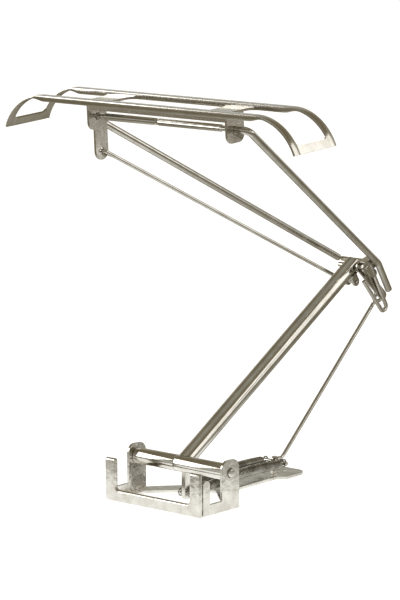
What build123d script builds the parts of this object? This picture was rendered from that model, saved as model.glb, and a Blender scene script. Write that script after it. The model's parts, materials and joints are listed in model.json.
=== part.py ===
from build123d import *
from math import atan2, cos, degrees, radians, sin, sqrt
import os

# Single-arm pantograph current collector for a gauge 1 (1:32) model locomotive, in millimetres.
# The origin is the centre of the mounting screw hole at the underside of the base.
# +X is across the track, +Y runs along it from the wide end of the base to the screw lug, +Z is up.

# Driving dimensions -----------------------------------------------------------------------------
SHEET = 0.5                 # base stamping
HEAD_SHEET = 0.4            # head and elbow stampings
TUBE_R = 1.35               # transverse tubes and lower arm
TUBE_BORE_R = 0.80
PIVOT_PIN_R = 0.74
WIRE_R = 0.60               # upper arm wires
ROD_R = 0.33                # coupling rod and levelling rod
PIN_R = 0.35                # small cross pins
AXLE_R = 0.40               # elbow axle and cross bar
RUN_CLEARANCE = 0.06        # radial, small pins and wires in their holes

# Joint centres, as (Y, Z)
MAIN_PIVOT = (-26.0, 6.2)
ELBOW = (18.0, 33.2)
HEAD_AXLE = (-29.7, 62.2)
TAIL_PIVOT = (24.4, 27.4)
ROD_ANCHOR = (-2.6, 2.45)
LEVER_PIN = (-25.7, 1.4)
LEVEL_LOW = (18.25, 30.45)
HEAD_TILT = 3.5             # degrees, front edge of the head low

# Base stamping
BASE_HALF_W = 10.3
FRONT_Y = MAIN_PIVOT[0] - 7.5
UPRIGHT_W = 2.45
UPRIGHT_TOP = 7.15
WALL_H = 2.0
TAB_Y = (FRONT_Y + 0.75, FRONT_Y + 2.4)
TAB_TOP = 5.85
EAR_HALF = 2.1
EAR_CORNER_R = 1.5          # an ear's two top corners
STRIP_W = 2.2
FRONT_STRIP = 1.9           # floor kept behind the front wall
SIDE_REAR = 2.1             # end of a side wall, behind the pivot
STEM_START = 11.4           # where the diagonal arms meet, behind the pivot
STEM_HALF_W = 2.1
LUG_HALF_W = 3.3
LUG_FRONT, LUG_REAR = -3.2, 2.2
LUG_CORNER_R = 1.6
SCREW_HOLE_R = 0.65
FOLD_R = 0.42               # outside of the folds between floor and walls
ANCHOR_TAB = (1.4, 3.4)     # width and height of the tab that holds the anchor pin
UPRIGHT_FILLET = 0.6        # between the front wall and its uprights

# Head
HEAD_HALF = 5.05            # half the depth over both contact strips
STRIP_TOP = 3.5             # top of the strips over the head axle
STRIP_RIDGE = 1.5           # width of one contact strip
STRIP_DEPTH = 0.95
STRIP_END = 22.6            # where the horns start to curve
HORN_R = 8.5
HORN_TURN = 70.0
HORN_LEG = 1.35             # width of a horn's two legs
HORN_BAR = 1.3              # height of the bar at a horn's tip
WEB_H = 1.2                 # upright web under the near strip
WEB_Y = -2.05               # middle of the web, from the head axle
EAR_W = 4.2
EAR_BELOW = 2.1             # how far an ear reaches below the head axle
CROSS_X = (10.4, 14.8)      # inner and outer edge of a cross piece
HEAD_EAR_X = 14.8           # outer face of a head ear
DROP_HOLE = (0.55, -5.75)   # levelling rod hole, from the head axle
ROD_STUB = (3.6, -1.25)     # run of the levelling rod's folded end, outside the drop lug

# Elbow
BAR = (20.2, 33.8)          # cross bar between the two wires
ELBOW_X_LEFT, ELBOW_X_RIGHT = -4.2, 4.1
CHEEK_LEFT = (1.7, 2.1)
CHEEK_RIGHT = (2.95, 3.35)
HAIRPIN_R = 0.36
ROD_X = 1.0                 # plane of the coupling rod
SPRING_X = {"left": (-2.0, -0.6), "right": (2.0, 1.4)}   # each spring at the anchor and at the lever
SPRING_R = 0.88
LEVER_W = 1.15              # width of the blade that the springs pull
SPRING_WIRE = 0.26


# Small helpers ----------------------------------------------------------------------------------
def at(yz, x=0.0):
    """A point on the side view (Y, Z), at this X."""
    return Vector(x, yz[0], yz[1])


def add(yz, dy, dz):
    """A side-view point moved by dy and dz."""
    return (yz[0] + dy, yz[1] + dz)


def cross_rod(yz, x0, x1, radius):
    """A round bar along X from x0 to x1."""
    return Pos((x0 + x1) / 2, *yz) * Rot(0, 90, 0) * Cylinder(radius, x1 - x0)


def side_plate(face, x0, thickness):
    """A flat plate from a face drawn in the (Y, Z) plane, from x0 towards +X."""
    return extrude(Plane.YZ.offset(x0) * face, amount=thickness)


def bar_between(start, end, width):
    """A straight bar with round ends, as a face in the (Y, Z) plane."""
    dy, dz = end[0] - start[0], end[1] - start[1]
    middle = Pos((start[0] + end[0]) / 2, (start[1] + end[1]) / 2)
    return middle * Rot(0, 0, degrees(atan2(dz, dy))) * SlotCenterToCenter(sqrt(dy**2 + dz**2), width)


def wire(points, radius, bends):
    """Round wire along straight runs joined by arcs."""
    path = FilletPolyline(*points, radius=bends) if len(points) > 2 else Line(*points)
    section = Plane(origin=path @ 0, z_dir=path % 0) * Circle(radius)
    return sweep(section, path=path)


def tilt_head(part):
    """Turn a head piece about the head axle, from level to its tilt."""
    there, back = Pos(0, *HEAD_AXLE), Pos(0, -HEAD_AXLE[0], -HEAD_AXLE[1])
    return there * Rot(HEAD_TILT, 0, 0) * back * part


def tilted(u, w):
    """A point u behind and w above the head axle, on the tilted head, as (Y, Z)."""
    turn = radians(HEAD_TILT)
    return add(HEAD_AXLE, u * cos(turn) - w * sin(turn), u * sin(turn) + w * cos(turn))


# Base -------------------------------------------------------------------------------------------
def floor_outline():
    """The floor: a wide front, two diagonal arms, a stem and the screw lug."""
    pivot_y = MAIN_PIVOT[0]
    right = [(BASE_HALF_W, FRONT_Y), (BASE_HALF_W, pivot_y + SIDE_REAR),
             (STEM_HALF_W + 0.1, pivot_y + STEM_START), (STEM_HALF_W - 0.1, LUG_FRONT - 1.0),
             (LUG_HALF_W, LUG_FRONT), (LUG_HALF_W - 0.3, LUG_REAR)]
    left = [(-x, y) for x, y in reversed(right)]
    face = make_face(Polyline(*right, *left, close=True))
    rear = face.vertices().sort_by(Axis.Y)[-2:]
    face = fillet(rear, LUG_CORNER_R)
    shoulders = [v for v in face.vertices() if LUG_FRONT - 1.3 < v.Y < LUG_FRONT + 0.2]
    return fillet(shoulders, 0.6)


def floor_cutout():
    """The window in the floor, which leaves the side strips and the arms."""
    pivot_y = MAIN_PIVOT[0]
    half = BASE_HALF_W - STRIP_W
    rear = pivot_y + STEM_START - 4.0
    right = [(half, FRONT_Y + FRONT_STRIP), (half, pivot_y + 0.4), (0.7, rear)]
    left = [(-x, y) for x, y in reversed(right)]
    face = make_face(Polyline(*right, *left, close=True))
    return fillet(face.vertices(), 0.35)


def side_wall_face():
    """Side wall: corner tab, low band and the pivot ear."""
    ear_y = MAIN_PIVOT[0]
    band = Pos((TAB_Y[0] + ear_y + EAR_HALF) / 2, WALL_H / 2 - 0.05) * Rectangle(
        ear_y + EAR_HALF - TAB_Y[0], WALL_H - 0.1)
    tab = Pos(sum(TAB_Y) / 2, TAB_TOP / 2) * Rectangle(TAB_Y[1] - TAB_Y[0], TAB_TOP)
    tab = fillet(tab.vertices().group_by(Axis.Y)[-1], 0.6)
    ear_top = MAIN_PIVOT[1] + EAR_HALF
    ear = Pos(ear_y, ear_top / 2) * Rectangle(2 * EAR_HALF, ear_top)
    ear = fillet(ear.vertices().group_by(Axis.Y)[-1], EAR_CORNER_R)
    face = band + tab + ear
    face -= Pos(*MAIN_PIVOT) * Circle(PIVOT_PIN_R + RUN_CLEARANCE)
    rear_foot = face.vertices().filter_by(lambda v: v.Y < 0.01 and v.X > ear_y)
    return fillet(rear_foot, 0.5)


def base_frame():
    """One bent stamping: floor, front wall with its uprights, side walls, lug and anchor tab."""
    part = extrude(floor_outline() - floor_cutout() - Circle(SCREW_HOLE_R), amount=SHEET)
    front = Pos(0, WALL_H / 2) * Rectangle(2 * BASE_HALF_W, WALL_H)
    for side in (-1, 1):
        centre = side * (BASE_HALF_W - UPRIGHT_W / 2)
        front += Pos(centre, UPRIGHT_TOP / 2) * Rectangle(UPRIGHT_W, UPRIGHT_TOP)
    tops = front.vertices().group_by(Axis.Y)[-1]
    front = fillet(tops, 0.3)
    front = fillet(front.vertices().filter_by(lambda v: abs(v.Y - WALL_H) < 0.01), UPRIGHT_FILLET)
    part += extrude(Plane.XZ.offset(-FRONT_Y - SHEET) * front, amount=SHEET)
    for x0 in (-BASE_HALF_W, BASE_HALF_W - SHEET):
        part += side_plate(side_wall_face(), x0, SHEET)
    tab = Pos(ROD_ANCHOR[0], ANCHOR_TAB[1] / 2) * Rectangle(*ANCHOR_TAB)
    tab = fillet(tab.vertices().group_by(Axis.Y)[-1], 0.5)
    tab -= Pos(*ROD_ANCHOR) * Circle(PIN_R)
    part += side_plate(tab, -SHEET / 2, SHEET)
    fold = [e for e in part.edges().filter_by(Axis.X) if e.center().Z < 0.01 and e.length > 15
            and e.center().Y < FRONT_Y + 0.01]
    part = fillet(fold, FOLD_R)
    walls = [e for e in part.edges().filter_by(Axis.Y) if e.center().Z < 0.01 and e.length > 6
             and abs(e.center().X) > BASE_HALF_W - 0.01]
    return fillet(walls, FOLD_R)


def pivot_pin():
    """The pin through both ears and both transverse tubes, domed at each end."""
    half = BASE_HALF_W + 0.4
    pin = cross_rod(MAIN_PIVOT, -half, half, PIVOT_PIN_R)
    return fillet(pin.edges().filter_by(GeomType.CIRCLE), 0.25)


def transverse_tube(x0, x1):
    """One half of the tube on the pivot pin."""
    return cross_rod(MAIN_PIVOT, x0, x1, TUBE_R) - cross_rod(MAIN_PIVOT, x0, x1, TUBE_BORE_R)


SEAM_X = -1.0
TUBE_END_X = BASE_HALF_W - SHEET - 0.05


def spacer_tube():
    """The still half of the transverse tube, which spaces the arm from the left ear."""
    return transverse_tube(-TUBE_END_X, SEAM_X - 0.04)


def anchor_pin():
    """The cross pin that holds both springs and the coupling rod."""
    return cross_rod(ROD_ANCHOR, -2.75, 2.75, PIN_R)


# Lower arm --------------------------------------------------------------------------------------
ARM_ANGLE = atan2(ELBOW[1] - MAIN_PIVOT[1], ELBOW[0] - MAIN_PIVOT[0])
ARM_LENGTH = sqrt((ELBOW[0] - MAIN_PIVOT[0])**2 + (ELBOW[1] - MAIN_PIVOT[1])**2)
ARM_TOP_OVER_AXLE = 0.75
ARM_BORE_R = 1.0


def on_arm(along, above=0.0):
    """A point along the lower arm from the main pivot, and square to it, as (Y, Z)."""
    c, s = cos(ARM_ANGLE), sin(ARM_ANGLE)
    return add(MAIN_PIVOT, along * c - above * s, along * s + above * c)


def hub_tube():
    """The moving half of the transverse tube, which carries the arm."""
    return transverse_tube(SEAM_X + 0.04, TUBE_END_X)


def lower_arm_tube():
    """The arm: one tube, cut to sit on the hub, with cross holes for the elbow axle."""
    length = ARM_LENGTH + ARM_TOP_OVER_AXLE
    frame = Plane(origin=at(MAIN_PIVOT), z_dir=at(on_arm(1.0)) - at(MAIN_PIVOT))
    tube = extrude(frame * Circle(TUBE_R), amount=length) - extrude(frame * Circle(ARM_BORE_R), amount=length)
    tube -= cross_rod(MAIN_PIVOT, -4, 4, TUBE_R + 0.005)
    tube -= cross_rod(ELBOW, -3, 3, AXLE_R + RUN_CLEARANCE)
    return max(tube.solids(), key=lambda s: s.volume)


def spring_lever():
    """The blade under the hub tube that the springs pull."""
    top = add(MAIN_PIVOT, 0.0, -TUBE_R + 0.2)
    foot = 0.35
    face = Pos(LEVER_PIN[0], (top[1] + foot) / 2) * Rectangle(LEVER_W, top[1] - foot)
    face = fillet(face.vertices().group_by(Axis.Y)[0], 0.4)
    blade = side_plate(face, 0.0, 0.8) - cross_rod(MAIN_PIVOT, -1, 2, TUBE_R + 0.005)
    return blade - cross_rod(LEVER_PIN, -1, 2, PIN_R)


def spring_lever_pin():
    """The pin through the blade that the springs' front hooks hang on."""
    return cross_rod(LEVER_PIN, -1.1, 1.9, PIN_R)


def levelling_clevis():
    """A saddle under the top of the arm with two lobes for the levelling rod."""
    lobe = bar_between(LEVEL_LOW, add(LEVEL_LOW, -0.55, 0.9), 1.5)
    lobes = side_plate(lobe, -1.05, 0.45) + side_plate(lobe, 0.6, 0.45)
    frame = Plane(origin=at(on_arm(ARM_LENGTH - 2.1)), z_dir=at(on_arm(1.0)) - at(MAIN_PIVOT))
    saddle = extrude(frame * Circle(TUBE_R + 0.35), amount=1.5) - extrude(frame * Circle(TUBE_R), amount=1.5)
    below = Pos(*at(on_arm(ARM_LENGTH - 1.4, -1.75))) * Rot(degrees(ARM_ANGLE), 0, 0) * Box(4, 2.4, 2.2)
    part = lobes + (saddle & below)
    arm = Plane(origin=at(on_arm(20)), z_dir=at(on_arm(1.0)) - at(MAIN_PIVOT))
    part -= extrude(arm * Circle(TUBE_R), amount=40)
    return part - cross_rod(LEVEL_LOW, -2, 2, ROD_R + RUN_CLEARANCE)


# Upper arm --------------------------------------------------------------------------------------
def arm_wire(head_x, elbow_x, seam_x, crimp_x, tail=None):
    """One wire: half of the head axle, a bend outside the ear, the long run, and any tail."""
    points = [at(HEAD_AXLE, seam_x), at(HEAD_AXLE, head_x), at(BAR, elbow_x)]
    radii = [1.0]
    if tail:
        points.append(tail)
        radii.append(1.4)
    part = wire(points, WIRE_R, radii)
    crimp = Pos(crimp_x, *HEAD_AXLE) * Box(1.1, 1.56, 0.9)
    return part + fillet(crimp.edges().filter_by(Axis.X), 0.2)


HEAD_SEAM_X = -1.5


def left_arm_wire():
    return arm_wire(-15.95, ELBOW_X_LEFT, HEAD_SEAM_X - 0.02, -13.5)


def right_arm_wire():
    tail_end = at(add(BAR, 3.2, -5.3), ELBOW_X_RIGHT)
    return arm_wire(17.3, ELBOW_X_RIGHT, HEAD_SEAM_X + 0.02, 12.6, tail_end)


def elbow_cross_bar():
    """The bar that joins the two wires and carries the elbow bracket."""
    return cross_rod(BAR, ELBOW_X_LEFT + WIRE_R - 0.15, ELBOW_X_RIGHT - WIRE_R + 0.15, AXLE_R)


def elbow_bracket():
    """Two cheeks and a web: the left cheek runs on as the tail lever."""
    head = bar_between(ELBOW, BAR, 1.9)
    left = head + bar_between(ELBOW, TAIL_PIVOT, 1.7)
    right = head + bar_between(ELBOW, add(BAR, 0.0, -1.9), 1.5)
    part = side_plate(left, CHEEK_LEFT[0], CHEEK_LEFT[1] - CHEEK_LEFT[0])
    part += side_plate(right, CHEEK_RIGHT[0], CHEEK_RIGHT[1] - CHEEK_RIGHT[0])
    web = bar_between(add(ELBOW, -0.1, 0.85), add(BAR, -0.4, 0.78), 0.3)
    part += side_plate(web, CHEEK_LEFT[0], CHEEK_RIGHT[1] - CHEEK_LEFT[0])
    part -= cross_rod(ELBOW, 0, 5, AXLE_R)
    part -= cross_rod(BAR, 0, 5, AXLE_R)
    return part - cross_rod(TAIL_PIVOT, 0, 5, PIN_R)


def elbow_axle():
    """The axle through the top of the lower arm, fixed in the bracket's cheeks."""
    axle = cross_rod(ELBOW, -2.7, CHEEK_RIGHT[1] + 0.3, AXLE_R)
    return fillet(axle.edges().filter_by(GeomType.CIRCLE), 0.1)


def tail_hairpin():
    """The bent wire between the cheeks, with its turn at the tail."""
    x = (CHEEK_LEFT[1] + CHEEK_RIGHT[0]) / 2
    turn = add(ELBOW, 6.6, -8.3)
    points = [at(add(BAR, 0.3, -1.3), x), at(add(turn, 0.35, 0.2), x), at(add(turn, -1.1, -0.1), x),
              at(add(ELBOW, 0.2, -2.4), x)]
    return wire(points, HAIRPIN_R, [0.75, 0.75])


def tail_pin():
    """The pin that the coupling rod's eye hangs on."""
    return cross_rod(TAIL_PIVOT, 0.35, CHEEK_LEFT[1], PIN_R)


# Rods -------------------------------------------------------------------------------------------
def eye(yz, x, inner_r, rod_r):
    """A round eye of bent rod, square to X."""
    return Pos(x, *yz) * Rot(0, 90, 0) * Torus(inner_r + rod_r, rod_r)


TOP_EYE_R = 0.72
FOOT_EYE_R = PIN_R + RUN_CLEARANCE


def coupling_rod():
    """The rod from the base to the tail lever, with an eye at each end."""
    dy, dz = TAIL_PIVOT[0] - ROD_ANCHOR[0], TAIL_PIVOT[1] - ROD_ANCHOR[1]
    length = sqrt(dy**2 + dz**2)
    uy, uz = dy / length, dz / length
    start = add(ROD_ANCHOR, uy * (FOOT_EYE_R + ROD_R), uz * (FOOT_EYE_R + ROD_R))
    end = add(TAIL_PIVOT, -uy * (TOP_EYE_R + ROD_R), -uz * (TOP_EYE_R + ROD_R))
    rod = wire([at(start, ROD_X), at(end, ROD_X)], ROD_R, None)
    return rod + eye(ROD_ANCHOR, ROD_X, FOOT_EYE_R, ROD_R) + eye(TAIL_PIVOT, ROD_X, TOP_EYE_R, ROD_R)


def levelling_rod():
    """The thin rod that keeps the head level, bent through its hole at each end."""
    high = tilted(*DROP_HOLE)
    inner_x, outer_x = -HEAD_EAR_X + HEAD_SHEET + 0.5, -HEAD_EAR_X - 0.5
    low_x = -2.0
    points = [at(add(high, *ROD_STUB), outer_x), at(high, outer_x), at(high, inner_x), at(LEVEL_LOW, low_x),
              at(LEVEL_LOW, 1.35)]
    return wire(points, ROD_R, [0.42, 0.42, 0.45])


# Head -------------------------------------------------------------------------------------------
def strip_section(u):
    """A contact strip's section: a ridge with two flanges, open below."""
    outer = Pos(u, -STRIP_DEPTH / 2) * Rectangle(STRIP_RIDGE, STRIP_DEPTH)
    outer = fillet(outer.vertices().group_by(Axis.Y)[-1], 0.4)
    wall = 0.32
    inner = Pos(u, -STRIP_DEPTH / 2 - wall) * Rectangle(STRIP_RIDGE - 2 * wall, STRIP_DEPTH)
    return outer - fillet(inner.vertices().group_by(Axis.Y)[-1], 0.12)


def horn(side):
    """A down-curved horn: two legs and an end bar around a window."""
    turn = radians(HORN_TURN)
    top = Vector(side * STRIP_END, 0)
    tip = Vector(side * (STRIP_END + HORN_R * sin(turn)), -HORN_R * (1 - cos(turn)))
    centre = Vector(side * STRIP_END, -HORN_R)
    mid = centre + Vector(side * HORN_R * sin(turn / 2), HORN_R * cos(turn / 2))
    lift = (HORN_R - HEAD_SHEET) / HORN_R
    inner = [centre + (p - centre) * lift for p in (top, mid, tip)]
    edge = ThreePointArc(top, mid, tip) + Line(tip, inner[2])
    edge += ThreePointArc(inner[2], inner[1], inner[0]) + Line(inner[0], top)
    plate = extrude(Plane.XZ.offset(-HEAD_HALF) * make_face(edge), amount=2 * HEAD_HALF)
    window_start, window_end = STRIP_END - 1.6, STRIP_END + HORN_R
    low, high = tip.Y + HORN_BAR, 1.0
    window = Pos(side * (window_start + window_end) / 2, 0, (low + high) / 2) * Box(
        window_end - window_start, 2 * (HEAD_HALF - HORN_LEG), high - low)
    return plate - window


def head_plate():
    """The head stamping: two contact strips, two cross pieces and the horns."""
    part = None
    for u in (-HEAD_HALF + STRIP_RIDGE / 2, HEAD_HALF - STRIP_RIDGE / 2):
        strip = extrude(Plane.YZ.offset(-STRIP_END) * strip_section(u), amount=2 * STRIP_END)
        part = strip if part is None else part + strip
    half = HEAD_HALF - STRIP_RIDGE + 0.2
    for side in (-1, 1):
        middle = side * sum(CROSS_X) / 2
        part += Pos(middle, 0, -STRIP_DEPTH + HEAD_SHEET / 2) * Box(
            CROSS_X[1] - CROSS_X[0], 2 * half, HEAD_SHEET)
        part += horn(side)
    corners = [e for e in part.edges().filter_by(Axis.Z)
               if any(abs(abs(e.center().X) - x) < 0.01 for x in CROSS_X) and abs(e.center().Y) > 3]
    part = fillet(corners, 1.1)
    return tilt_head(Pos(0, HEAD_AXLE[0], HEAD_AXLE[1] + STRIP_TOP) * part)


def head_carrier():
    """The web under the strips with its two ears: the left ear runs down as the drop lug."""
    top = STRIP_TOP - STRIP_DEPTH
    ear = Pos(-0.15, (top - EAR_BELOW) / 2) * Rectangle(EAR_W, top + EAR_BELOW)
    ear = fillet(ear.vertices().group_by(Axis.Y)[0], 1.3)
    drop = bar_between((0.6, 0.0), (DROP_HOLE[0], DROP_HOLE[1]), 3.0)
    hole = Circle(WIRE_R + RUN_CLEARANCE)
    rod_hole = Pos(*DROP_HOLE) * Circle(ROD_R + 0.22)
    right = ear - hole
    left = ear + drop - hole - rod_hole
    part = side_plate(left, -HEAD_EAR_X, HEAD_SHEET)
    part += side_plate(right, HEAD_EAR_X - HEAD_SHEET, HEAD_SHEET)
    web = Pos(0, WEB_Y, top - WEB_H / 2) * Box(2 * HEAD_EAR_X, HEAD_SHEET, WEB_H)
    part += web
    return tilt_head(Pos(0, *HEAD_AXLE) * part)


# Springs ----------------------------------------------------------------------------------------
HOOK_R = 0.48               # inside radius of a spring's end hook
HOOK_REACH = 1.2            # from a pin to the coil's end


def spring_line(side):
    """A spring's front and rear hook centres, its length and its unit direction from front to rear."""
    rear_x, front_x = SPRING_X[side]
    front, rear = at(LEVER_PIN, front_x), at(ROD_ANCHOR, rear_x)
    return front, rear, (rear - front).length, (rear - front).normalized()


def spring_coil(side):
    """The close-wound coil, as a tube of the coil's outer and inner size."""
    front, _, length, along = spring_line(side)
    frame = Plane(origin=front + along * HOOK_REACH, z_dir=along)
    amount = length - 2 * HOOK_REACH
    coil = extrude(frame * Circle(SPRING_R), amount=amount)
    coil -= extrude(frame * Circle(SPRING_R - SPRING_WIRE), amount=amount)
    return coil


def spring_hook(side, is_front):
    """An end hook: a ring round the pin, its shank, and the wire's last turn out to the coil."""
    front, rear, _, along = spring_line(side)
    pin = front if is_front else rear
    inward = along if is_front else along * -1
    wire_r = SPRING_WIRE / 2
    near = pin + inward * (HOOK_R + wire_r)
    far = pin + inward * (HOOK_REACH - wire_r)
    shank = wire([near, far], wire_r, None)
    spoke = wire([far, far + Vector(SPRING_R - wire_r, 0, 0)], wire_r, None)
    joint = Pos(far) * Sphere(wire_r)
    return eye((pin.Y, pin.Z), pin.X, HOOK_R, wire_r) + shank + spoke + joint


def nodes():
    """Every sub-part by node name."""
    return {
        "base_frame": base_frame(),
        "pivot_pin": pivot_pin(),
        "spacer_tube": spacer_tube(),
        "anchor_pin": anchor_pin(),
        "hub_tube": hub_tube(),
        "lower_arm_tube": lower_arm_tube(),
        "spring_lever": spring_lever(),
        "spring_lever_pin": spring_lever_pin(),
        "levelling_clevis": levelling_clevis(),
        "left_arm_wire": left_arm_wire(),
        "right_arm_wire": right_arm_wire(),
        "elbow_cross_bar": elbow_cross_bar(),
        "elbow_bracket": elbow_bracket(),
        "elbow_axle": elbow_axle(),
        "tail_hairpin": tail_hairpin(),
        "tail_pin": tail_pin(),
        "coupling_rod": coupling_rod(),
        "levelling_rod": levelling_rod(),
        "head_plate": head_plate(),
        "head_carrier": head_carrier(),
        "left_spring": spring_coil("left"),
        "right_spring": spring_coil("right"),
        "left_spring_rear_hook": spring_hook("left", False),
        "right_spring_rear_hook": spring_hook("right", False),
        "left_spring_front_hook": spring_hook("left", True),
        "right_spring_front_hook": spring_hook("right", True),
    }


os.makedirs("parts", exist_ok=True)
for name, shape in nodes().items():
    shape.label = name
    export_step(shape, f"parts/{name}.step")
    print(name, round(shape.volume, 2), "mm3")
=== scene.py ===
# %% [markdown]
# # A nickel-plated model railway pantograph
# The object is a single-arm current collector, the folding frame that a model electric locomotive
# carries on its roof. It is a few bent stampings, some tube, some wire and two springs, all plated
# with nickel. The CAD model already has every sub-part in its place. What Blender adds is what
# a part drawing leaves out: rounded edges that catch the light, real spring turns, wire that is bent
# and not mitred, and a metal that looks plated. Nothing here may leave the CAD model's box.

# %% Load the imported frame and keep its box
import json
from math import atan2, cos, pi, radians, sin

import bmesh
import bpy
from mathutils import Matrix, Vector


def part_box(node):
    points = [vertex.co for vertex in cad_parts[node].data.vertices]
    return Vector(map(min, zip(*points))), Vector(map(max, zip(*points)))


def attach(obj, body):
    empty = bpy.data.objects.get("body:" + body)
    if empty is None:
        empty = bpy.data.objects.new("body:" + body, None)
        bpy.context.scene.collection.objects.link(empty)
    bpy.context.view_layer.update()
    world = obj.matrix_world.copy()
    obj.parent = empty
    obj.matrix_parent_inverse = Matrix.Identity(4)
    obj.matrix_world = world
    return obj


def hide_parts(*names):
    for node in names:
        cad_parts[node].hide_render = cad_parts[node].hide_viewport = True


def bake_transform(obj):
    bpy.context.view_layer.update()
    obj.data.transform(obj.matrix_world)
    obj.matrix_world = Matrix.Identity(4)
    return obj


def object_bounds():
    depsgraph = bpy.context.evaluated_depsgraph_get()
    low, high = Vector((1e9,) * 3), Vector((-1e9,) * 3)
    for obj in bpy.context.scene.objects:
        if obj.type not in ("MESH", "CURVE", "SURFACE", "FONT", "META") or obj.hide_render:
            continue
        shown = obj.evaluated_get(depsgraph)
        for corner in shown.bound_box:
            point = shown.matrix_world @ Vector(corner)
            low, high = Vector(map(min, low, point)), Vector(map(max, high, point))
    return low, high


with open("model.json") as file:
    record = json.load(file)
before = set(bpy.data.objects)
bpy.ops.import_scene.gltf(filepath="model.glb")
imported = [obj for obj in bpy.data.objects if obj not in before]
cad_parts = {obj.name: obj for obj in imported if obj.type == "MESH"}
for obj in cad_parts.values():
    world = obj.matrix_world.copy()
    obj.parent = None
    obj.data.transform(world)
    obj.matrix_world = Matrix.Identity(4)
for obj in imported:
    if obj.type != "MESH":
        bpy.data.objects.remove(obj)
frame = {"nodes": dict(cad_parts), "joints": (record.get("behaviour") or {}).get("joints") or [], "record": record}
cad_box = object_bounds()
scene = bpy.context.scene
print("CAD box in metres:", [list(corner) for corner in cad_box])

# %% [markdown]
# ## Places that come from the frame
# Blender works in metres and a small mechanism is easier to think about in millimetres, so one
# value, `MM`, turns one into the other. The pivots are read from the frame's joints, and the other
# centres from the boxes of the pins that stand there. Typing them in again would work until the CAD
# model changed, and then the wire would miss its hole.

# %% Millimetres, bodies, slots and pivots
MM = 0.001
record = frame["record"]
BODY = {node: body for body, nodes in record["behaviour"]["bodies"].items() for node in nodes}
PIVOT = {joint["name"]: Vector(joint["pos_m"]) for joint in frame["joints"] if "pos_m" in joint}


def middle(node):
    """The centre of a CAD node's box."""
    low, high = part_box(node)
    return (low + high) / 2


MAIN = PIVOT["lower_arm_pivot"]
ELBOW = PIVOT["elbow"]
HEAD = PIVOT["head_tilt"]
ANCHOR = PIVOT["coupling_rod_pivot"]
LEVEL_LOW = PIVOT["levelling_rod_pivot"]
LEVER_PIN = middle("spring_lever_pin")
TAIL = middle("tail_pin")
BAR = middle("elbow_cross_bar")
print("main pivot", MAIN, "elbow", ELBOW, "head axle", HEAD)

# %% [markdown]
# ## The camera
# The camera comes first, because everything after it is judged through it. A long lens far away
# keeps the long parallel edges almost parallel. It is placed by the direction it looks from, as an
# azimuth and an elevation, and by the point that it looks at.

# %% Camera
CAMERA_AZIMUTH = radians(41.0)
CAMERA_ELEVATION = radians(9.93)
CAMERA_ROLL = radians(-0.28)
CAMERA_DISTANCE = 506.0 * MM
AIM_ABOVE_PIVOT = 30.0 * MM
AIM_SHIFT = 2.99 * MM
LENS_MM, SENSOR_MM = 189.0, 36.0


def look_axes(azimuth, elevation, roll):
    """The camera's right, up and back directions."""
    back = Vector((sin(azimuth) * cos(elevation), -cos(azimuth) * cos(elevation), sin(elevation)))
    level = Vector((cos(azimuth), sin(azimuth), 0))
    above = back.cross(level)
    return level * cos(roll) + above * sin(roll), above * cos(roll) - level * sin(roll), back


def place_camera():
    """Make the camera and aim it just above the middle of the linkage."""
    right, up, back = look_axes(CAMERA_AZIMUTH, CAMERA_ELEVATION, CAMERA_ROLL)
    aim = MAIN + Vector((0, 0, AIM_ABOVE_PIVOT)) + (right - up) * AIM_SHIFT
    data = bpy.data.cameras.new("camera")
    data.lens = LENS_MM
    data.sensor_width = SENSOR_MM
    data.clip_start, data.clip_end = 0.01, 20.0
    camera = bpy.data.objects.new("camera", data)
    turn = Matrix((right, up, back)).transposed().to_4x4()
    camera.matrix_world = Matrix.Translation(aim + back * CAMERA_DISTANCE) @ turn
    scene.collection.objects.link(camera)
    scene.camera = camera
    print("camera at", tuple(round(x, 3) for x in camera.location))


place_camera()

# %% [markdown]
# ## The metals
# Plated metal has hardly any colour of its own: it shows the room. So each finish here is a metallic
# shader whose roughness, tint and surface vary a little from place to place. Three noises do it.
# A large one shifts the tint and the roughness, as handling and tumbling leave them. A fine one makes
# the grain of the plating. The third is stretched along the piece, for the lines that drawing leaves
# on tube and wire. All of them read Object coordinates, turned to millimetres by a Mapping node, so
# that a pattern stays on its piece when it moves.

# %% Small node helpers
def add_node(tree, kind, **values):
    """A node with its settings and its input values."""
    made = tree.nodes.new(kind)
    for key, value in values.items():
        if key in made.inputs:
            made.inputs[key].default_value = value
        else:
            setattr(made, key, value)
    return made


def millimetres(tree, stretch=(1, 1, 1), turn=0.0):
    """Object coordinates in millimetres, turned about X and then squeezed along each axis."""
    place = add_node(tree, "ShaderNodeTexCoord")
    turned = add_node(tree, "ShaderNodeMapping", Rotation=(turn, 0, 0))
    sized = add_node(tree, "ShaderNodeMapping", Scale=tuple(1000 * s for s in stretch))
    tree.links.new(place.outputs["Object"], turned.inputs["Vector"])
    tree.links.new(turned.outputs["Vector"], sized.inputs["Vector"])
    return sized.outputs["Vector"]


def noise(tree, where, scale, detail=3.0, rough=0.5):
    """A noise of this many lumps to a millimetre."""
    made = add_node(tree, "ShaderNodeTexNoise", Scale=scale, Detail=detail, Roughness=rough)
    tree.links.new(where, made.inputs["Vector"])
    return made.outputs["Fac"]


def spread(tree, value, low, high, start=0.3, end=0.7):
    """A noise's middle values, spread from low to high."""
    made = tree.nodes.new("ShaderNodeMapRange")
    for index, number in enumerate((start, end, low, high), start=1):
        made.inputs[index].default_value = number
    tree.links.new(value, made.inputs[0])
    return made.outputs["Result"]


def mix_colours(tree, share, first, second):
    """Two colours, mixed by a value."""
    made = add_node(tree, "ShaderNodeMix", data_type="RGBA")
    tree.links.new(share, made.inputs[0])
    made.inputs[6].default_value = (*first, 1)
    made.inputs[7].default_value = (*second, 1)
    return made.outputs[2]


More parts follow.
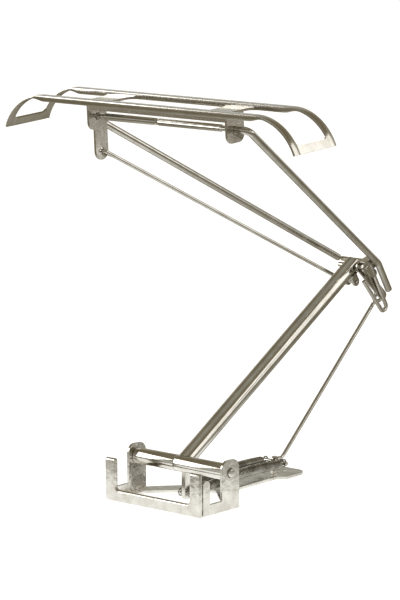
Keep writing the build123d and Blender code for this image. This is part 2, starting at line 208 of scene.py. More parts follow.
def bump(tree, height, depth, under=None):
    """A bump of this depth in millimetres, laid over another."""
    made = add_node(tree, "ShaderNodeBump", Strength=1.0, Distance=depth * MM)
    tree.links.new(height, made.inputs["Height"])
    if under:
        tree.links.new(under, made.inputs["Normal"])
    return made.outputs["Normal"]


# %% A plated finish
DENTS_PER_MM = 1.1
GRAINS_PER_MM = 14.0
LINES_PER_MM = 16.0


def plated(name, bright, dull, rough, patch=0.5, dents=0.004, grain=0.0008, lines=0.0, turn=0.0,
           along=(0.03, 1, 1)):
    """Nickel plate: bright and dull tints in patches, a roughness range, dents, grain and drawn lines."""
    material = bpy.data.materials.new(name)
    material.use_nodes = True
    tree = material.node_tree
    shader = tree.nodes["Principled BSDF"]
    shader.inputs["Metallic"].default_value = 1.0
    where = millimetres(tree)
    patches = noise(tree, where, patch, detail=4.0, rough=0.6)
    tree.links.new(mix_colours(tree, spread(tree, patches, 0, 1), bright, dull), shader.inputs["Base Color"])
    tree.links.new(spread(tree, patches, *rough), shader.inputs["Roughness"])
    surface = bump(tree, noise(tree, where, DENTS_PER_MM, detail=2.0), dents)
    surface = bump(tree, noise(tree, where, GRAINS_PER_MM, detail=5.0, rough=0.65), grain, surface)
    if lines:
        drawn = noise(tree, millimetres(tree, along, turn), LINES_PER_MM, detail=2.0)
        surface = bump(tree, drawn, lines, surface)
    tree.links.new(surface, shader.inputs["Normal"])
    print("finish", name)
    return material


NICKEL = (0.67, 0.655, 0.615)
NICKEL_WORN = (0.50, 0.475, 0.42)
SOLDER = (0.62, 0.585, 0.50)
SOLDER_DARK = (0.42, 0.375, 0.29)
SPRING_GREY = (0.46, 0.445, 0.40)
SPRING_DARK = (0.17, 0.155, 0.125)
ARM_SLOPE = atan2(ELBOW.z - MAIN.z, ELBOW.y - MAIN.y)

TUMBLED = plated("tumbled_stamping", NICKEL, NICKEL_WORN, (0.12, 0.30), patch=0.5, dents=0.07, grain=0.0012)
SATIN = plated("satin_stamping", NICKEL, NICKEL_WORN, (0.12, 0.24), patch=0.35, dents=0.008, grain=0.0012)
HEAD_SATIN = plated("satin_head", NICKEL, NICKEL_WORN, (0.10, 0.20), patch=0.3, dents=0.002, grain=0.0006)
SOLDERED = plated("soldered_bar", SOLDER, SOLDER_DARK, (0.28, 0.42), patch=0.8, dents=0.006, grain=0.002)
BRIGHT_TUBE = plated("bright_cross_tube", NICKEL, NICKEL_WORN, (0.07, 0.15), patch=0.3, lines=0.0006)
BRIGHT_ARM = plated("bright_arm_tube", NICKEL, NICKEL_WORN, (0.08, 0.17), patch=0.3, lines=0.0006,
                    turn=-ARM_SLOPE, along=(1, 0.03, 1))
BRIGHT_WIRE = plated("bright_wire", NICKEL, NICKEL_WORN, (0.10, 0.22), patch=0.4, dents=0.004)
SPRING_STEEL = plated("dull_spring_wire", SPRING_GREY, SPRING_DARK, (0.22, 0.40), patch=0.7, dents=0.0)

# %% [markdown]
# ## One way to finish every piece
# Each piece ends the same way. Its mesh becomes an object, its sides are shaded smooth with sharp
# edges kept, it rides on the body of the CAD node that it stands for unless it is told not to, and
# that node is hidden. One helper does this, so no piece can miss a step.

# %% Finishing helper
def finish(mesh, name, nodes, material, sharp=40, rides=True):
    """Turn a mesh into a piece that stands for these CAD nodes and, when rides is true, rides on their body."""
    piece = bpy.data.objects.new(name, mesh)
    scene.collection.objects.link(piece)
    mesh.materials.clear()
    mesh.materials.append(material)
    for face in mesh.polygons:
        face.use_smooth = True
    mesh.set_sharp_from_angle(angle=radians(sharp))
    if rides:
        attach(piece, BODY[nodes[0]])
    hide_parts(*nodes)
    print(name, "has", len(mesh.polygons), "faces")
    return piece


def mesh_of(bm, name):
    """Write a bmesh to a new mesh and let it go."""
    mesh = bpy.data.meshes.new(name)
    bm.to_mesh(mesh)
    bm.free()
    return mesh


# %% [markdown]
# ## Stampings
# The base, the elbow bracket, the head's carrier and the small blades are sheet, punched and folded. Their
# outlines are exact in the CAD model, so drawing them again could only make them wrong. A copy of
# the CAD mesh is merged, its flat triangles are dissolved into whole faces, and every sharp edge gets
# a narrow rounded bevel. That bevel is what makes it read as metal: a punched edge that has been
# tumbled in a drum shows as a thin bright line. Hardened normals keep the flats flat beside it.

# %% Stampings with rounded edges
MERGE = 0.001 * MM
FLAT_WITHIN = radians(0.6)
SHARP_FROM = radians(32)


def soft_edged(node, name, material, edge):
    """A CAD node's shape with its sharp edges rounded to this radius in millimetres."""
    bm = bmesh.new()
    bm.from_mesh(frame["nodes"][node].data)
    bmesh.ops.remove_doubles(bm, verts=bm.verts, dist=MERGE)
    bmesh.ops.dissolve_limit(bm, angle_limit=FLAT_WITHIN, verts=bm.verts, edges=bm.edges)
    piece = finish(mesh_of(bm, name), name, [node], material)
    bevel = piece.modifiers.new("worn_edges", "BEVEL")
    bevel.width = edge * MM
    bevel.segments = 3
    bevel.limit_method = "ANGLE"
    bevel.angle_limit = SHARP_FROM
    bevel.use_clamp_overlap = False
    bevel.harden_normals = True
    return piece


soft_edged("base_frame", "base_stamping", TUMBLED, 0.07)
soft_edged("spring_lever", "spring_blade", SATIN, 0.06)
soft_edged("levelling_clevis", "levelling_saddle", SATIN, 0.05)
soft_edged("elbow_bracket", "elbow_stamping", SATIN, 0.06)
soft_edged("head_carrier", "carrier_stamping", SATIN, 0.06)
soft_edged("lower_arm_tube", "arm_tube", BRIGHT_ARM, 0.08)

# %% [markdown]
# ## The head
# The head is one stamping: two ridged strips that the overhead wire slides on, two cross pieces, and
# a curled horn at each end. Beveling the CAD shape fails where a deep ridge runs out into thin sheet,
# so the head is made as its maker makes it, flat first and bent last. A grid is rolled up into a long
# tube with the section of a strip, open below. Where a cross piece or an end bar belongs, faces are
# taken off both strips and the holes are bridged. The bridges are subdivided, and their sides are
# drawn in from a wide foot, which leaves a fillet in each corner. The last move curls the ends down.

# %% Sizes of the head
STRIP_END, STRIP_TOP = 22.6, 3.5
HEAD_HALF, STRIP_WIDE, LEG_WIDE = 5.05, 1.5, 1.35
RIDGE_DEPTH, HORN_SHEET = 0.95, 0.4
HORN_R, HORN_TURN = 8.5, radians(70)
HEAD_TIP = STRIP_END + HORN_R * HORN_TURN
CROSS_MIDDLE, CROSS_HALF, CROSS_FILLET = 12.6, 2.2, 1.1
BAR_LONG, BAR_FILLET = 1.42, 0.5
HEAD_TILT = radians(3.5)
RUN_OUT = (21.6, 24.6)
print("head is", round(2 * HEAD_TIP, 1), "mm long before its ends are curled")


# %% A strip's section and stations
def eased(value, start, end):
    """A smooth step from 0 to 1."""
    share = min(max((value - start) / (end - start), 0), 1)
    return share * share * (3 - 2 * share)


def strip_section(x):
    """The section of a strip at this X, as (distance from the head's middle, height) pairs."""
    flat = eased(abs(x), *RUN_OUT)
    depth = RIDGE_DEPTH + (HORN_SHEET - RIDGE_DEPTH) * flat
    outer, inner = HEAD_HALF, HEAD_HALF - STRIP_WIDE + (STRIP_WIDE - LEG_WIDE) * flat
    round_out = 0.04
    at_bar = eased(abs(x), HEAD_TIP - BAR_LONG - BAR_FILLET - 0.3, HEAD_TIP - BAR_LONG - BAR_FILLET)
    round_in = round_out + (0.012 - round_out) * at_bar
    lip_in, lip_up = 0.12 - 0.09 * flat, 0.2 - 0.16 * flat
    wall, ceiling = 0.32, 0.32 + 0.05 * flat
    shoulder = -depth + 0.4 - 0.2 * flat
    corner = [(sin(radians(a)), cos(radians(a))) for a in (90, 60, 30, 0)]
    points = [(outer - lip_in, -depth), (outer, -depth + lip_up)]
    points += [(outer - round_out + round_out * s, -round_out + round_out * c) for s, c in corner]
    points += [(inner + round_in - round_in * s, -round_in + round_in * c) for s, c in reversed(corner)]
    points += [(inner, shoulder), (inner, -depth + lip_up), (inner + lip_in, -depth)]
    return points + [(inner + wall, -depth), (inner + wall, -ceiling), (outer - wall, -ceiling),
                     (outer - wall, -depth)]


def stations():
    """Places along the head where a section stands, closer together where the shape changes."""
    def even(start, end, steps):
        return [start + (end - start) * step / steps for step in range(steps)]
    foot = CROSS_HALF + CROSS_FILLET
    bar_foot = HEAD_TIP - BAR_LONG - BAR_FILLET
    half = even(0, CROSS_MIDDLE - foot, 4) + even(CROSS_MIDDLE - foot, CROSS_MIDDLE + foot, 12)
    half += even(CROSS_MIDDLE + foot, RUN_OUT[0], 6) + even(RUN_OUT[0], RUN_OUT[1], 10)
    half += even(RUN_OUT[1], bar_foot, 14) + even(bar_foot, HEAD_TIP, 5) + [HEAD_TIP]
    return [-x for x in reversed(half[1:])] + half


# %% The head, flat
def rolled_strip(bm, side):
    """Roll a grid into one strip, in millimetres, on this side of the head's middle."""
    xs, around = stations(), len(strip_section(0))
    grid = bmesh.ops.create_grid(bm, x_segments=len(xs) - 1, y_segments=around, size=0.5)["verts"]
    sections = [strip_section(x) for x in xs]
    for vert in grid:
        column = round((vert.co.x + 0.5) * (len(xs) - 1))
        out, height = sections[column][round((vert.co.y + 0.5) * around) % around]
        vert.co = (xs[column], side * out, height)
    bmesh.ops.remove_doubles(bm, verts=bm.verts, dist=0.001)
    bmesh.ops.holes_fill(bm, edges=[e for e in bm.edges if e.is_boundary], sides=around)


def bridge_strips(bm, start, end, low, high, cuts):
    """Open both strips' inner walls between these places and heights, and join them by a bridge."""
    wall_at = HEAD_HALF - STRIP_WIDE
    opened = []
    for face in bm.faces:
        centre = face.calc_center_median()
        inward = abs(centre.y) < wall_at + 0.2 and max(abs(v.co.y) for v in face.verts) < wall_at + 0.29
        if inward and start < centre.x < end and low < centre.z < high:
            opened.append(face)
    rims = [e for e in bm.edges if len([f for f in e.link_faces if f in opened]) == 1]
    bmesh.ops.delete(bm, geom=opened, context="FACES")
    made = bmesh.ops.bridge_loops(bm, edges=rims)["edges"]
    bmesh.ops.subdivide_edges(bm, edges=made, cuts=cuts, use_grid_fill=True)
    return [v for v in bm.verts if abs(v.co.y) < wall_at - 0.001 and start - 0.01 < v.co.x < end + 0.01]


def draw_in(verts, about, foot, half, fillet):
    """Narrow a bridge to its real width, with a fillet at each strip, measured from one place."""
    wall_at = HEAD_HALF - STRIP_WIDE
    for vert in verts:
        vert.co.y = wall_at * sin(vert.co.y / wall_at * pi / 2)
        left = max(fillet - (wall_at - abs(vert.co.y)), 0)
        reach = half + fillet - (fillet * fillet - left * left) ** 0.5
        vert.co.x = about + (vert.co.x - about) * reach / foot


def curl(point):
    """Bend the flat head's ends down round the horns' radius."""
    over = abs(point.x) - STRIP_END
    if over <= 0:
        return point
    angle, radius = over / HORN_R, HORN_R + point.z
    side = 1 if point.x > 0 else -1
    return Vector((side * (STRIP_END + radius * sin(angle)), point.y, radius * cos(angle) - HORN_R))


def head_stamping():
    """The head, rolled, bridged, curled and tilted."""
    bm = bmesh.new()
    for side in (-1, 1):
        rolled_strip(bm, side)
    foot, bar_foot = CROSS_HALF + CROSS_FILLET, BAR_LONG + BAR_FILLET
    for side in (-1, 1):
        middle_x = side * CROSS_MIDDLE
        verts = bridge_strips(bm, middle_x - foot, middle_x + foot, -RIDGE_DEPTH, -RIDGE_DEPTH + 0.4, 18)
        draw_in(verts, middle_x, foot, CROSS_HALF, CROSS_FILLET)
        ends = sorted((side * (HEAD_TIP - bar_foot), side * HEAD_TIP))
        verts = bridge_strips(bm, *ends, -HORN_SHEET, -0.02, 14)
        draw_in(verts, side * HEAD_TIP, bar_foot, BAR_LONG, BAR_FILLET)
    bmesh.ops.recalc_face_normals(bm, faces=bm.faces)
    tilt = Matrix.Rotation(HEAD_TILT, 3, "X")
    for vert in bm.verts:
        vert.co = HEAD + tilt @ ((curl(vert.co) + Vector((0, 0, STRIP_TOP))) * MM)
    print("open edges in the head:", len([e for e in bm.edges if not e.is_manifold]))
    return finish(mesh_of(bm, "head_stamping"), "head_stamping", ["head_plate"], HEAD_SATIN, sharp=35)


head_stamping()

# %% [markdown]
# ## Pins and axles
# Every pin is a short bar along X. `create_cone` with two equal radii makes a cylinder, and a bevel
# with several segments turns its two rims into domes, as a barrel-polished pin has. The size comes
# from the CAD pin's box, so one function makes them all.

# %% Pins
ALONG_X = Matrix.Rotation(radians(90), 4, "Y")


def cross_pin(node, name, dome, material=BRIGHT_TUBE, sides=40):
    """A round bar along X, as long and thick as its CAD node, with domed ends."""
    low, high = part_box(node)
    radius = (high.z - low.z) / 2
    bm = bmesh.new()
    bmesh.ops.create_cone(bm, cap_ends=True, segments=sides, radius1=radius, radius2=radius,
                          depth=high.x - low.x, matrix=Matrix.Translation((low + high) / 2) @ ALONG_X)
    rims = [e for e in bm.edges if abs(e.verts[0].co.x - e.verts[1].co.x) < MERGE]
    bmesh.ops.bevel(bm, geom=rims, offset=dome * MM, affect="EDGES", segments=4, profile=0.5, material=-1)
    return finish(mesh_of(bm, name), name, [node], material)


cross_pin("pivot_pin", "pivot_pin_domed", 0.3, sides=64)
cross_pin("anchor_pin", "anchor_pin_domed", 0.12)
cross_pin("spring_lever_pin", "lever_pin_domed", 0.12)
cross_pin("elbow_axle", "elbow_axle_domed", 0.15)
cross_pin("elbow_cross_bar", "elbow_bar_soldered", 0.05, SOLDERED)
cross_pin("tail_pin", "tail_pin_domed", 0.12)

# %% [markdown]
# ## The two cross tubes
# The tube on the main pivot is rolled from strip. It is in two halves, one that stands still and one
# that turns with the arm, and each shows the line where the strip's edges meet. A small rectangle,
# the tube's wall in section, has its corners beveled and is spun once round the pivot. One column of
# the outer skin is then pushed in a little, which makes the seam without a texture.

# %% Cross tubes
TUBE_BORE = 0.80 * MM
RIM = 0.09 * MM
SEAM_DEPTH = 0.035 * MM
TUBE_STEPS = 96


def cross_tube(node, name, seam_angle):
    """A rolled tube along X with rounded rims and a seam at this angle, in degrees below the front."""
    low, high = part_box(node)
    centre = (low + high) / 2
    outer = (high.z - low.z) / 2
    bm = bmesh.new()
    corners = [(low.x, TUBE_BORE), (high.x, TUBE_BORE), (high.x, outer), (low.x, outer)]
    section = [bm.verts.new((x, centre.y, centre.z + r)) for x, r in corners]
    bm.faces.new(section)
    bmesh.ops.bevel(bm, geom=section, offset=RIM, affect="VERTICES", segments=4, profile=0.5, material=-1)
    bmesh.ops.delete(bm, geom=bm.faces[:], context="FACES_ONLY")
    bmesh.ops.spin(bm, geom=bm.verts[:] + bm.edges[:], cent=centre, axis=(1, 0, 0), angle=2 * pi,
                   steps=TUBE_STEPS, use_merge=True)
    bmesh.ops.remove_doubles(bm, verts=bm.verts, dist=MERGE)
    seam = radians(seam_angle)
    towards = Vector((0, -cos(seam), -sin(seam)))
    for vert in bm.verts:
        out = vert.co - centre
        out.x = 0
        if out.length > outer - MERGE and out.angle(towards) < pi / TUBE_STEPS:
            vert.co -= out.normalized() * SEAM_DEPTH
    bmesh.ops.recalc_face_normals(bm, faces=bm.faces)
    return finish(mesh_of(bm, name), name, [node], BRIGHT_TUBE, sharp=50)


cross_tube("spacer_tube", "still_tube", 75)
cross_tube("hub_tube", "turning_tube", 24)

# %% [markdown]
# ## Bent wire
# The upper arm and both rods are wire. A wire is its centreline and its thickness, so a curve with
# a round bevel is the natural tool. The corners are rounded first: each is cut back along both runs
# and filled with points on an arc. A curve's ends are flat, so the last points shrink to leave the
# small dome of a clipped and tumbled end.

# %% Centreline helpers
ARC_STEP = radians(6)
DOME_ANGLES = (0.0, 0.5, 0.9, 1.25, pi / 2)
DOME_LENGTH = 0.6      # of a wire's radius, so a little flatter than a half ball


def rounded(corners, radii):
    """Points along straight runs whose corners are arcs of these radii, in millimetres."""
    points = [corners[0]]
    for before, corner, after, radius in zip(corners, corners[1:], corners[2:], radii):
        a, b = (before - corner).normalized(), (after - corner).normalized()
        half = a.angle(b) / 2
        turn = pi - 2 * half
        reach = radius * MM * cos(half) / sin(half)
        centre = corner + (a + b).normalized() * (radius * MM / sin(half))
        first, last = corner + a * reach, corner + b * reach
        steps = max(2, int(turn / ARC_STEP))
        spin_axis = (first - centre).cross(last - centre).normalized()
        for step in range(steps + 1):
            points.append(centre + Matrix.Rotation(turn * step / steps, 3, spin_axis) @ (first - centre))
    return points + [corners[-1]]


def loop_points(centre, radius, start, turn):
    """Points round a loop square to X, from a start angle, for this turn, both in degrees."""
    steps = max(4, int(abs(radians(turn)) / ARC_STEP))
    angles = [radians(start + turn * step / steps) for step in range(steps + 1)]
    return [centre + Vector((0, cos(a), sin(a))) * radius for a in angles]


def wire_mesh(points, radius, name, sides=6):
    """A round wire along the points, with domed ends, as a mesh."""
    points, sizes = list(points), [1.0] * len(points)
    for at_start in (True, False):
        end, inner = (points[0], points[1]) if at_start else (points[-1], points[-2])
        inward = (inner - end).normalized() * radius
        dome_points = [end + inward * (1 - sin(a)) * DOME_LENGTH for a in DOME_ANGLES]
        dome_sizes = [max(cos(a), 0.02) for a in DOME_ANGLES]
        if at_start:
            points, sizes = dome_points[::-1] + points[1:], dome_sizes[::-1] + sizes[1:]
        else:
            points, sizes = points[:-1] + dome_points, sizes[:-1] + dome_sizes
    curve = bpy.data.curves.new(name, "CURVE")
    curve.dimensions = "3D"
    curve.bevel_depth = radius
    curve.bevel_resolution = sides
    curve.use_fill_caps = True
    curve.twist_mode = "MINIMUM"
    spline = curve.splines.new("POLY")
    spline.points.add(len(points) - 1)
    for slot, point, size in zip(spline.points, points, sizes):
        slot.co = (*point, 1)
        slot.radius = size
    holder = bpy.data.objects.new(name + "_curve", curve)
    mesh = bpy.data.meshes.new_from_object(holder)
    bpy.data.objects.remove(holder)
    bm = bmesh.new()
    bm.from_mesh(mesh)
    bmesh.ops.remove_doubles(bm, verts=bm.verts, dist=MERGE / 2)
    bm.to_mesh(mesh)
    bm.free()
    return mesh


# %% [markdown]
# ## The upper arm's two wires
# Each wire is half of the head's axle, then a bend outside the ear, then the long run to the elbow.
# Just inside the ear the wire is squeezed flat, so that the head can't slide along it. The flat is
# made by moving the mesh: near the crimp, the section is pressed down and bulges out.

# %% Upper arm wires
WIRE_R = 0.60 * MM
BEND_R, TAIL_BEND_R = 1.0, 1.4
CRIMP_HALF = 0.55 * MM
CRIMP_EASE = 0.35 * MM
CRIMP_DOWN, CRIMP_OUT = 0.74, 1.26
ELBOW_TAIL = Vector((0, 3.2, -5.3)) * MM


def press_flat(mesh, at_x):
    """Squeeze the axle near this X, down in Z and out in Y."""
    for vert in mesh.vertices:
        if (vert.co.yz - HEAD.yz).length > 1.4 * WIRE_R:
            continue
        share = 1 - eased(abs(vert.co.x - at_x), CRIMP_HALF, CRIMP_HALF + CRIMP_EASE)
        vert.co.y = HEAD.y + (vert.co.y - HEAD.y) * (1 + (CRIMP_OUT - 1) * share)
        vert.co.z = HEAD.z + (vert.co.z - HEAD.z) * (1 + (CRIMP_DOWN - 1) * share)


def axle_steps(start, end, at_x):
    """Extra points on the axle round the crimp, so that the mesh can be pressed there."""
    reach = CRIMP_HALF + CRIMP_EASE
    xs = [at_x + reach * step / 8 for step in range(-8, 9)]
    if end < start:
        xs.reverse()
    return [Vector((x, HEAD.y, HEAD.z)) for x in xs]


def arm_wire(node, name, seam_x, bend_x, elbow_x, crimp_x, tail=None):
    """One wire of the upper arm, by its places along X in millimetres, with or without a tail."""
    seam, bend = Vector((seam_x * MM, HEAD.y, HEAD.z)), Vector((bend_x * MM, HEAD.y, HEAD.z))
    elbow = Vector((elbow_x * MM, BAR.y, BAR.z))
    corners, radii = [seam, bend, elbow], [BEND_R]
    if tail:
        corners.append(elbow + tail)
        radii.append(TAIL_BEND_R)
    points = rounded(corners, radii)
    points[1:1] = axle_steps(seam.x, bend.x, crimp_x * MM)
    mesh = wire_mesh(points, WIRE_R, name)
    press_flat(mesh, crimp_x * MM)
    return finish(mesh, name, [node], BRIGHT_WIRE)


arm_wire("left_arm_wire", "left_wire", -1.52, -15.95, -4.2, -13.5)
arm_wire("right_arm_wire", "right_wire", -1.48, 17.3, 4.1, 12.6, ELBOW_TAIL)

# %% [markdown]
# ## The tail hairpin and the two rods
# The hairpin stiffens the tail lever. The coupling rod has an eye bent at each end: the lower one
# goes round the anchor pin and the upper one, which is looser, round the tail pin. The levelling rod
# has no eyes. It is bent through its holes, and its upper end is folded back outside the drop lug.

# %% Hairpin and rods
ROD_R = 0.33 * MM
HAIRPIN_R = 0.36 * MM
FOOT_EYE = 0.74 * MM
TOP_EYE = 1.05 * MM
STUB = Vector((0, 3.6, -1.25)) * MM
DROP_HOLE = Vector((0, 0.55, -5.75)) * MM
OUTSIDE_LUG = Vector((-15.3, 0, 0)) * MM
INSIDE_LUG = Vector((-13.9, 0, 0)) * MM


def from_joint(joint, dy, dz, x=0.0):
    """A point behind and above a joint by these millimetres, at this X in millimetres."""
    return Vector((x * MM, joint.y + dy * MM, joint.z + dz * MM))


def tail_hairpin():
    """The bent wire between the bracket's cheeks."""
    x = middle("tail_hairpin").x / MM
    corners = [from_joint(BAR, 0.3, -1.3, x), from_joint(ELBOW, 6.94, -8.1, x),
               from_joint(ELBOW, 5.5, -8.4, x), from_joint(ELBOW, 0.2, -2.4, x)]
    mesh = wire_mesh(rounded(corners, [0.75, 0.75]), HAIRPIN_R, "hairpin_wire")
    return finish(mesh, "hairpin_wire", ["tail_hairpin"], BRIGHT_WIRE)


def coupling_rod():
    """The long rod with an eye bent at each end."""
    x = middle("coupling_rod").x
    foot, top = Vector((x, ANCHOR.y, ANCHOR.z)), Vector((x, TAIL.y, TAIL.z))
    run = (top - foot).normalized()
    slope = atan2(run.z, run.y) * 180 / pi
    low_eye = loop_points(foot, FOOT_EYE, slope + 350, -335)
    high_eye = loop_points(top, TOP_EYE, slope + 180 - 35, -295)
    leave_low, reach_top = foot + run * FOOT_EYE * 2.0, top - run * TOP_EYE * 1.9
    shank = rounded([low_eye[-1], leave_low, reach_top, high_eye[0]], [0.8, 0.6])
    mesh = wire_mesh(low_eye[:-1] + shank + high_eye[1:], ROD_R, "coupling_rod_wire", sides=4)
    return finish(mesh, "coupling_rod_wire", ["coupling_rod"], BRIGHT_WIRE)


def levelling_rod():
    """The thin rod, bent through the drop lug above and the saddle below."""
    tilt = Matrix.Rotation(HEAD_TILT, 3, "X")
    hole = HEAD + tilt @ DROP_HOLE
    hole.x = 0
    corners = [hole + OUTSIDE_LUG + STUB, hole + OUTSIDE_LUG, hole + INSIDE_LUG,
               from_joint(LEVEL_LOW, 0, 0, -2.0), from_joint(LEVEL_LOW, 0, 0, 1.35)]
    mesh = wire_mesh(rounded(corners, [0.42, 0.42, 0.45]), ROD_R, "levelling_rod_wire", sides=4)
    return finish(mesh, "levelling_rod_wire", ["levelling_rod"], BRIGHT_WIRE)


tail_hairpin()
coupling_rod()
levelling_rod()

# %% [markdown]
# ## The springs
# Each spring is one wire: a hook round the anchor pin, some sixty close turns, and a hook round
# the lever's pin. A loop works the turns out. The coil is arched a little, because it is soft and is
# held at its ends only. The piece stands for the spring and its two hooks. It rides on no body and
# is fixed where it is drawn, so it does not follow the arm when the arm folds.

# %% Spring wire
SPRING_OUTER = 0.88 * MM
SPRING_WIRE_R = 0.125 * MM
TURN_PITCH = 0.31 * MM
POINTS_PER_TURN = 14
HOOK_REACH = 1.2 * MM
HOOK_R = 0.60 * MM
HOOK_OPENS, HOOK_TURN = 310, 300      # degrees round the pin
HOOK_NECK = (0.3 * MM, 0.12 * MM)     # from the coil to the two points that lead into it
SPRING_PLANES = {"left": (-2.0, -0.6), "right": (2.0, 1.4)}
ARCH = 0.75 * MM


def hook_points(centre, inward, side):
    """A hook from its open end round a pin's centre, then in to the coil's axis."""
    start = atan2(inward.z, inward.y) * 180 / pi
    ring = loop_points(centre, HOOK_R, start + side * HOOK_OPENS, -side * HOOK_TURN)
    return ring + [centre + inward * (HOOK_REACH - short) for short in HOOK_NECK]


def spring_wire(side):
    """The whole of one spring's centreline, from the anchor hook to the lever hook."""
    rear_x, front_x = SPRING_PLANES[side]
    rear, front = Vector((rear_x * MM, ANCHOR.y, ANCHOR.z)), Vector((front_x * MM, LEVER_PIN.y, LEVER_PIN.z))
    forward = (front - rear).normalized()
    upright = Vector((1, 0, 0)).cross(forward).normalized()
    if upright.z < 0:
        upright = -upright
    across = forward.cross(upright)
    length = (front - rear).length - 2 * HOOK_REACH
    turns = int(length / TURN_PITCH)
    begin = rear + forward * HOOK_REACH
    coil = []
    radius = SPRING_OUTER - SPRING_WIRE_R
    for step in range(turns * POINTS_PER_TURN + 1):
        share = step / (turns * POINTS_PER_TURN)
        angle = 2 * pi * step / POINTS_PER_TURN
        arch = ARCH * sin(pi * share) * (1 - 0.35 * share)
        ring = across * cos(angle) * radius + upright * (sin(angle) * radius + arch)
        coil.append(begin + forward * length * share + ring)
    points = hook_points(rear, forward, 1) + coil + hook_points(front, -forward, -1)[::-1]
    return points, begin, begin + forward * length


def spring(side):
    """One spring as a single wire from the anchor pin to the lever's pin, riding on no body."""
    points, begin, end = spring_wire(side)
    name = side + "_spring_wire"
    nodes = [side + "_spring", side + "_spring_rear_hook", side + "_spring_front_hook"]
    mesh = wire_mesh(points, SPRING_WIRE_R, name, sides=1)
    piece = finish(mesh, name, nodes, SPRING_STEEL, sharp=80, rides=False)
    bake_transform(piece)
    return piece


spring("left")
spring("right")

# %% [markdown]
# ## Floor and light
# Bright metal is a mirror, so it is lit by what it reflects. The floor that the camera sees is plain
# and nearly white. A chrome part that sees only white looks like plaster, so reflections find a second
# floor in the same place: bright round the object and olive brown further out. It is hidden from the
# camera and casts nothing, and so is the white card that lights the drop lug. A softbox in front and
# to the left draws the highlight along the cross tube, and one at the right draws the long one down
# the arm. Overhead it stays dim.

# %% Floors
def plain_floor(name, colour, rough, glow):
    """The pale floor's material."""
    material = bpy.data.materials.new(name)
    material.use_nodes = True
    shader = material.node_tree.nodes["Principled BSDF"]
    shader.inputs["Base Color"].default_value = (*colour, 1)
    shader.inputs["Roughness"].default_value = rough
    shader.inputs["Specular IOR Level"].default_value = 0.0
    shader.inputs["Emission Color"].default_value = (1, 1, 1, 1)
    shader.inputs["Emission Strength"].default_value = glow
    return material


def set_ramp(ramp, stops):
    """Put these (place, colour) stops on a colour ramp."""
    ramp.elements[0].position, ramp.elements[1].position = stops[0][0], stops[-1][0]
    for position, _ in stops[1:-1]:
        ramp.elements.new(position)
    for element, (_, colour) in zip(ramp.elements, stops):
        element.color = (*colour, 1)


GLOW_REACH = 0.4
GLOW_CENTRE = (0.0, -0.028, 0)
GLOW_STOPS = [
    (0.0, (1.0, 1.0, 0.98)),
    (0.055, (0.95, 0.95, 0.93)),
    (0.09, (0.50, 0.49, 0.46)),
    (0.15, (0.30, 0.285, 0.24)),
    (0.35, (0.15, 0.13, 0.085)),
    (1.0, (0.20, 0.18, 0.14)),
]


def fading_glow(name):
    """A glow that is bright near one place and fades to olive brown around it."""
    material = bpy.data.materials.new(name)
    material.use_nodes = True
    tree = material.node_tree
    tree.nodes.clear()
    place = add_node(tree, "ShaderNodeTexCoord")
    moved = add_node(tree, "ShaderNodeMapping", vector_type="POINT", Location=tuple(-c for c in GLOW_CENTRE))
    away = add_node(tree, "ShaderNodeVectorMath", operation="LENGTH")
    share = add_node(tree, "ShaderNodeMath", operation="DIVIDE")
    share.inputs[1].default_value = GLOW_REACH
    ramp = add_node(tree, "ShaderNodeValToRGB")
    set_ramp(ramp.color_ramp, GLOW_STOPS)
    glow = add_node(tree, "ShaderNodeEmission", Strength=1.4)
    out = add_node(tree, "ShaderNodeOutputMaterial")
    tree.links.new(place.outputs["Object"], moved.inputs["Vector"])
    tree.links.new(moved.outputs["Vector"], away.inputs[0])
    tree.links.new(away.outputs["Value"], share.inputs[0])
    tree.links.new(share.outputs["Value"], ramp.inputs["Fac"])
    tree.links.new(ramp.outputs["Color"], glow.inputs["Color"])
    tree.links.new(glow.outputs["Emission"], out.inputs["Surface"])
    return material


def plain_glow(name, colour, strength):
    """A plain glow, for a card that only reflections find."""
    material = bpy.data.materials.new(name)
    material.use_nodes = True
    shader = material.node_tree.nodes["Principled BSDF"]
    shader.inputs["Base Color"].default_value = (0, 0, 0, 1)
    shader.inputs["Emission Color"].default_value = (*colour, 1)
    shader.inputs["Emission Strength"].default_value = strength
    return material


def stage_sheet(name, height, size, material, centre=(0, 0)):
    """A square flat sheet of the stage."""
    bm = bmesh.new()
    bmesh.ops.create_grid(bm, x_segments=1, y_segments=1, size=size / 2)
    bmesh.ops.translate(bm, vec=(*centre, height), verts=bm.verts)
    sheet = bpy.data.objects.new(name, mesh_of(bm, name))
    sheet.data.materials.append(material)
    scene.collection.objects.link(sheet)
    return sheet


FLOOR_Z = cad_box[0].z - 0.01 * MM
FLOOR_SIZE = 8
CARD_SIZE = 0.095
CARD_AT = (0.268, 0.278)

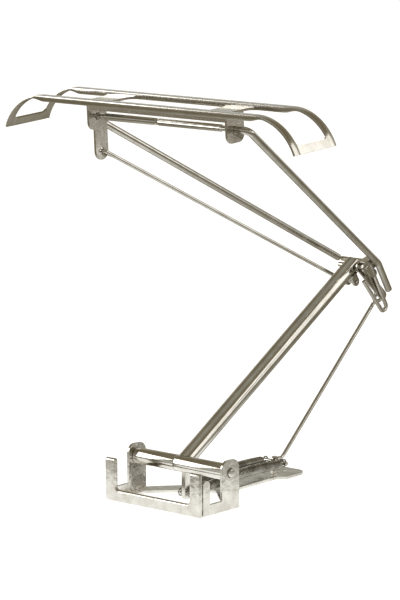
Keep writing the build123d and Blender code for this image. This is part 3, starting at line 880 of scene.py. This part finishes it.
floor = stage_sheet("floor", FLOOR_Z, FLOOR_SIZE, plain_floor("pale_floor", (0.80, 0.80, 0.82), 0.9, 0.84))
floor.visible_glossy = False
mirror_floor = stage_sheet("floor_in_reflections", FLOOR_Z - 0.02 * MM, FLOOR_SIZE,
                           fading_glow("fading_glow"))
card_glow = plain_glow("card_glow", (1.0, 0.99, 0.95), 1.15)
card = stage_sheet("white_card", FLOOR_Z + 0.2 * MM, CARD_SIZE, card_glow, CARD_AT)
for sheet in (mirror_floor, card):
    sheet.visible_camera = False
    sheet.visible_diffuse = False
    sheet.visible_shadow = False


# %% Softboxes and sky
def softbox(name, at, towards, size, power, colour=(1, 1, 1)):
    """A rectangular area light that faces a point."""
    data = bpy.data.lights.new(name, "AREA")
    data.shape = "RECTANGLE"
    data.size, data.size_y = size
    data.energy = power
    data.color = colour
    lamp = bpy.data.objects.new(name, data)
    lamp.location = at
    lamp.rotation_mode = "QUATERNION"
    lamp.rotation_quaternion = (Vector(towards) - Vector(at)).to_track_quat("-Z", "Y")
    scene.collection.objects.link(lamp)
    return lamp


CENTRE = (cad_box[0] + cad_box[1]) / 2
softbox("key_softbox", (-0.37, -0.26, 0.17), CENTRE, (0.30, 0.32), 0.95)
softbox("side_softbox", (0.40, 0.27, 0.24), CENTRE, (0.36, 0.32), 0.44)


SKY_STOPS = [
    (0.0, (0.80, 0.80, 0.78)),
    (0.14, (0.60, 0.59, 0.55)),
    (0.30, (0.41, 0.395, 0.34)),
    (0.50, (0.42, 0.39, 0.32)),
    (0.68, (0.22, 0.18, 0.11)),
    (0.86, (0.26, 0.23, 0.17)),
    (1.0, (0.38, 0.37, 0.31)),
]


def sky():
    """A sky that is pale at the horizon, dark olive well up and a little lighter overhead."""
    world = bpy.data.worlds.new("studio")
    scene.world = world
    world.use_nodes = True
    tree = world.node_tree
    background = tree.nodes["Background"]
    place = add_node(tree, "ShaderNodeTexCoord")
    split = add_node(tree, "ShaderNodeSeparateXYZ")
    ramp = add_node(tree, "ShaderNodeValToRGB")
    tree.links.new(place.outputs["Generated"], split.inputs["Vector"])
    tree.links.new(split.outputs["Z"], ramp.inputs["Fac"])
    tree.links.new(ramp.outputs["Color"], background.inputs["Color"])
    set_ramp(ramp.color_ramp, SKY_STOPS)
    background.inputs["Strength"].default_value = 1.0


sky()
scene.view_settings.view_transform = "Standard"
